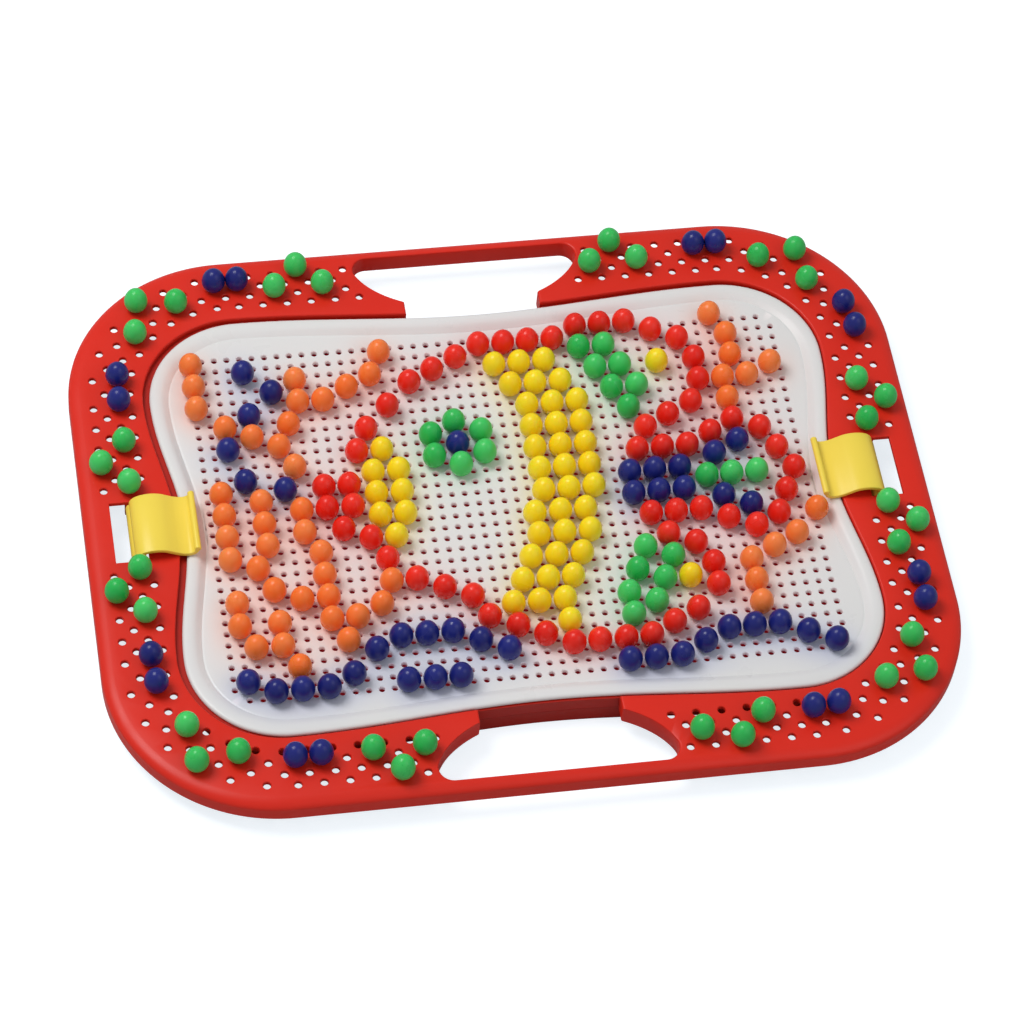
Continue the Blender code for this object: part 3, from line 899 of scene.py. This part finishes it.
def mix_colour(tree, factor, first, second, blend="MIX"):
    node = tree.nodes.new("ShaderNodeMix")
    node.data_type = "RGBA"
    node.blend_type = blend
    for socket, value in ((0, factor), (6, first), (7, second)):
        if isinstance(value, bpy.types.NodeSocket):
            tree.links.new(value, node.inputs[socket])
        elif isinstance(value, float):
            node.inputs[socket].default_value = value
        else:
            node.inputs[socket].default_value = (*value, 1.0)
    return node.outputs[2]


def moulded_surface(tree, shader, coordinates, roughness, grain, grain_scale=1400.0):
    """Uneven gloss and the fine texture of a moulded face."""
    patches = noise(tree, coordinates, 60.0, 4.0)
    tree.links.new(map_range(tree, patches, *roughness), shader.inputs["Roughness"])
    bump = tree.nodes.new("ShaderNodeBump")
    bump.inputs["Strength"].default_value = grain
    bump.inputs["Distance"].default_value = GRAIN_DEPTH
    tree.links.new(noise(tree, coordinates, grain_scale, 2.0), bump.inputs["Height"])
    tree.links.new(bump.outputs["Normal"], shader.inputs["Normal"])


def vertex_colour(tree, name):
    node = tree.nodes.new("ShaderNodeVertexColor")
    node.layer_name = name
    return node.outputs["Color"]


def shell_material(slot, roughness, grain, mottle, tint=None):
    """Moulded plastic with a faint flow pattern, and vertex colours for painted shade and painted light (its
    tint) and for a painted glow (its shine).
    """
    material, tree, shader = new_material(slot)
    coordinates = tree.nodes.new("ShaderNodeTexCoord").outputs["Object"]
    colour = PLASTIC[slot]
    darker = tuple(c * mottle for c in colour)
    flow = noise(tree, coordinates, 9.0, 5.0, (1.0, 2.2, 1.0))
    base = mix_colour(tree, map_range(tree, flow, 0.0, 1.0), darker, colour)
    # The tint colour multiplies in painted shade on the red plastic and painted peg light on the white; the
    # shine colour is a painted glow, given as emission.
    if tint:
        base = mix_colour(tree, 1.0, base, vertex_colour(tree, tint), "MULTIPLY")
        tree.links.new(vertex_colour(tree, "shine"), shader.inputs["Emission Color"])
        shader.inputs["Emission Strength"].default_value = 1.0
    tree.links.new(base, shader.inputs["Base Color"])
    moulded_surface(tree, shader, coordinates, roughness, grain)
    shader.inputs["IOR"].default_value = 1.49
    shader.inputs["Specular IOR Level"].default_value = 0.3
    return material


def peg_material(colour):
    """Glossy, slightly milky plastic whose shade differs a little from peg to peg."""
    material, tree, shader = new_material(colour + "_peg")
    coordinates = tree.nodes.new("ShaderNodeTexCoord").outputs["Object"]
    deep, pale = PEG_TONES[colour]
    base = mix_colour(tree, vertex_colour(tree, "shade"), deep, pale)
    cloud = map_range(tree, noise(tree, coordinates, 180.0, 2.0), 0.0, 0.12)
    base = mix_colour(tree, cloud, base, pale)
    tree.links.new(base, shader.inputs["Base Color"])
    moulded_surface(tree, shader, coordinates, (0.24, 0.34), 0.10, 900.0)
    shader.inputs["IOR"].default_value = 1.5
    shader.inputs["Specular IOR Level"].default_value = 0.35
    if colour != "blue":
        shader.inputs["Subsurface Weight"].default_value = 0.5
        shader.inputs["Subsurface Radius"].default_value = (1.0, 0.6, 0.5)
        shader.inputs["Subsurface Scale"].default_value = 0.002
    return material


# ---------------------------------------------------------------- assembly

RANDOM_SEED = 11


def place(obj, material, body, slot, *nodes):
    """Give a piece its material and its body, and hide the CAD nodes that it stands for; the slot is not
    used.
    """
    obj.data.materials.clear()
    obj.data.materials.append(material)
    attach(obj, body)
    if nodes:
        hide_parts(*nodes)


def make_border_pegs(materials, rng):
    """Each border peg stands where its CAD node stands."""
    for node in sorted(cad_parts):
        if not node.startswith("border_peg_"):
            continue
        colour = "green" if "green" in node else "blue"
        low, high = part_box(node)
        centre = (low + high) / 2.0 / MM
        peg = peg_cluster("round_" + node, [(centre.x, centre.y, FRAME_TOP)], rng, BORDER_PEG_LEAN_DEG)
        place(peg, materials[colour], node, colour + "_peg", node)


def make_case():
    rng = random.Random(RANDOM_SEED)
    pegs = mosaic_places()
    red = shell_material("red_plastic", (0.30, 0.42), 0.12, 0.93, "depth")
    white = shell_material("white_plastic", (0.26, 0.38), 0.06, 0.985, "glow")
    yellow = shell_material("yellow_plastic", (0.26, 0.38), 0.08, 0.95)
    place(make_frame(), red, "frame", "red_plastic", "frame")
    place(make_basin(), red, "frame", "red_plastic", "storage_basin")
    place(make_board(pegs), white, "board", "white_plastic", "peg_board")
    place(make_clip(-1), yellow, "clip_left", "yellow_plastic", "clip_left")
    place(make_clip(1), yellow, "clip_right", "yellow_plastic", "clip_right")
    materials = {colour: peg_material(colour) for colour in PEG_COLOURS.values()}
    for colour, places in pegs.items():
        cluster = peg_cluster("mosaic_pegs_" + colour, places, rng, PEG_LEAN_DEG)
        place(cluster, materials[colour], "board", colour + "_peg")
    make_border_pegs(materials, rng)


# ---------------------------------------------------------------- camera, light and floor

AIM_POINT = (1.2, 0.0, 12.5)  # mm, the middle of the board's hole grid
CAMERA_AZIMUTH = -14.4  # degrees, from the near side towards the left
CAMERA_ELEVATION = 53.979  # degrees
CAMERA_ROLL = 6.688  # degrees
CAMERA_DISTANCE = 1673.0  # mm
CAMERA_SLIDE = (-0.054, -2.723)  # mm, sideways and upwards in the picture
CAMERA_LENS = 145.01
SENSOR_WIDTH = 36.0
LIGHTS = (  # name, place in m, size in m, power in W
    ("key", (-0.75, 0.35, 1.5), 0.9, 17.0),
    ("fill", (0.9, -0.9, 1.4), 1.4, 4.0),
)
SKY_COLOUR = (0.96, 0.98, 1.0)
SKY_STRENGTH = 0.42
FLOOR_HALF_SIZE = 4.0  # m
FLOOR_TONES = ((0.44, 0.44, 0.44), (0.46, 0.46, 0.46))
FLOOR_LIGHT = (0.88, 0.95, 1.0)
FLOOR_BRIGHTNESS = 0.82


def make_camera():
    az, el, roll = (math.radians(a) for a in (CAMERA_AZIMUTH, CAMERA_ELEVATION, CAMERA_ROLL))
    toward = Vector((math.sin(az) * math.cos(el), -math.cos(az) * math.cos(el), math.sin(el)))
    level = Vector((math.cos(az), math.sin(az), 0.0))
    upright = level.cross(-toward)
    right = math.cos(roll) * level + math.sin(roll) * upright
    up = -math.sin(roll) * level + math.cos(roll) * upright
    slide = CAMERA_SLIDE[0] * right + CAMERA_SLIDE[1] * up
    location = Vector(AIM_POINT) + slide + CAMERA_DISTANCE * toward
    data = bpy.data.cameras.new("camera")
    data.lens = CAMERA_LENS
    data.sensor_width = SENSOR_WIDTH
    camera = bpy.data.objects.new("camera", data)
    bpy.context.scene.collection.objects.link(camera)
    turn = Matrix((right, up, toward)).transposed().to_4x4()
    camera.matrix_world = Matrix.Translation(location * MM) @ turn
    bpy.context.scene.camera = camera


def area_light(name, location, size, power):
    data = bpy.data.lights.new(name, "AREA")
    data.shape = "DISK"
    data.size = size
    data.energy = power
    light = bpy.data.objects.new(name, data)
    bpy.context.scene.collection.objects.link(light)
    light.location = location
    light.rotation_euler = (-Vector(location)).to_track_quat("-Z", "Y").to_euler()


def make_studio():
    for light in LIGHTS:
        area_light(*light)
    world = bpy.data.worlds.new("studio")
    world.use_nodes = True
    background = world.node_tree.nodes["Background"]
    background.inputs["Color"].default_value = (*SKY_COLOUR, 1.0)
    background.inputs["Strength"].default_value = SKY_STRENGTH
    bpy.context.scene.world = world
    bpy.context.scene.view_settings.view_transform = "Standard"


def make_floor():
    """A white card that looks bright but throws little light back up."""
    bm = bmesh.new()
    bmesh.ops.create_grid(bm, x_segments=8, y_segments=8, size=FLOOR_HALF_SIZE)
    floor = add_object("floor", to_mesh("floor", bm))
    material, tree, shader = new_material("floor_card")
    coordinates = tree.nodes.new("ShaderNodeTexCoord").outputs["Object"]
    patches = map_range(tree, noise(tree, coordinates, 3.0), 0.0, 1.0)
    base = mix_colour(tree, patches, *FLOOR_TONES)
    tree.links.new(base, shader.inputs["Base Color"])
    shader.inputs["Roughness"].default_value = 0.9
    shader.inputs["Specular IOR Level"].default_value = 0.0
    shader.inputs["Emission Color"].default_value = (*FLOOR_LIGHT, 1.0)
    seen = tree.nodes.new("ShaderNodeLightPath").outputs["Is Camera Ray"]
    strength = tree.nodes.new("ShaderNodeMath")
    strength.operation = "MULTIPLY"
    strength.inputs[1].default_value = FLOOR_BRIGHTNESS
    tree.links.new(seen, strength.inputs[0])
    tree.links.new(strength.outputs[0], shader.inputs["Emission Strength"])
    floor.data.materials.append(material)


make_camera()
make_studio()
make_floor()
make_case()
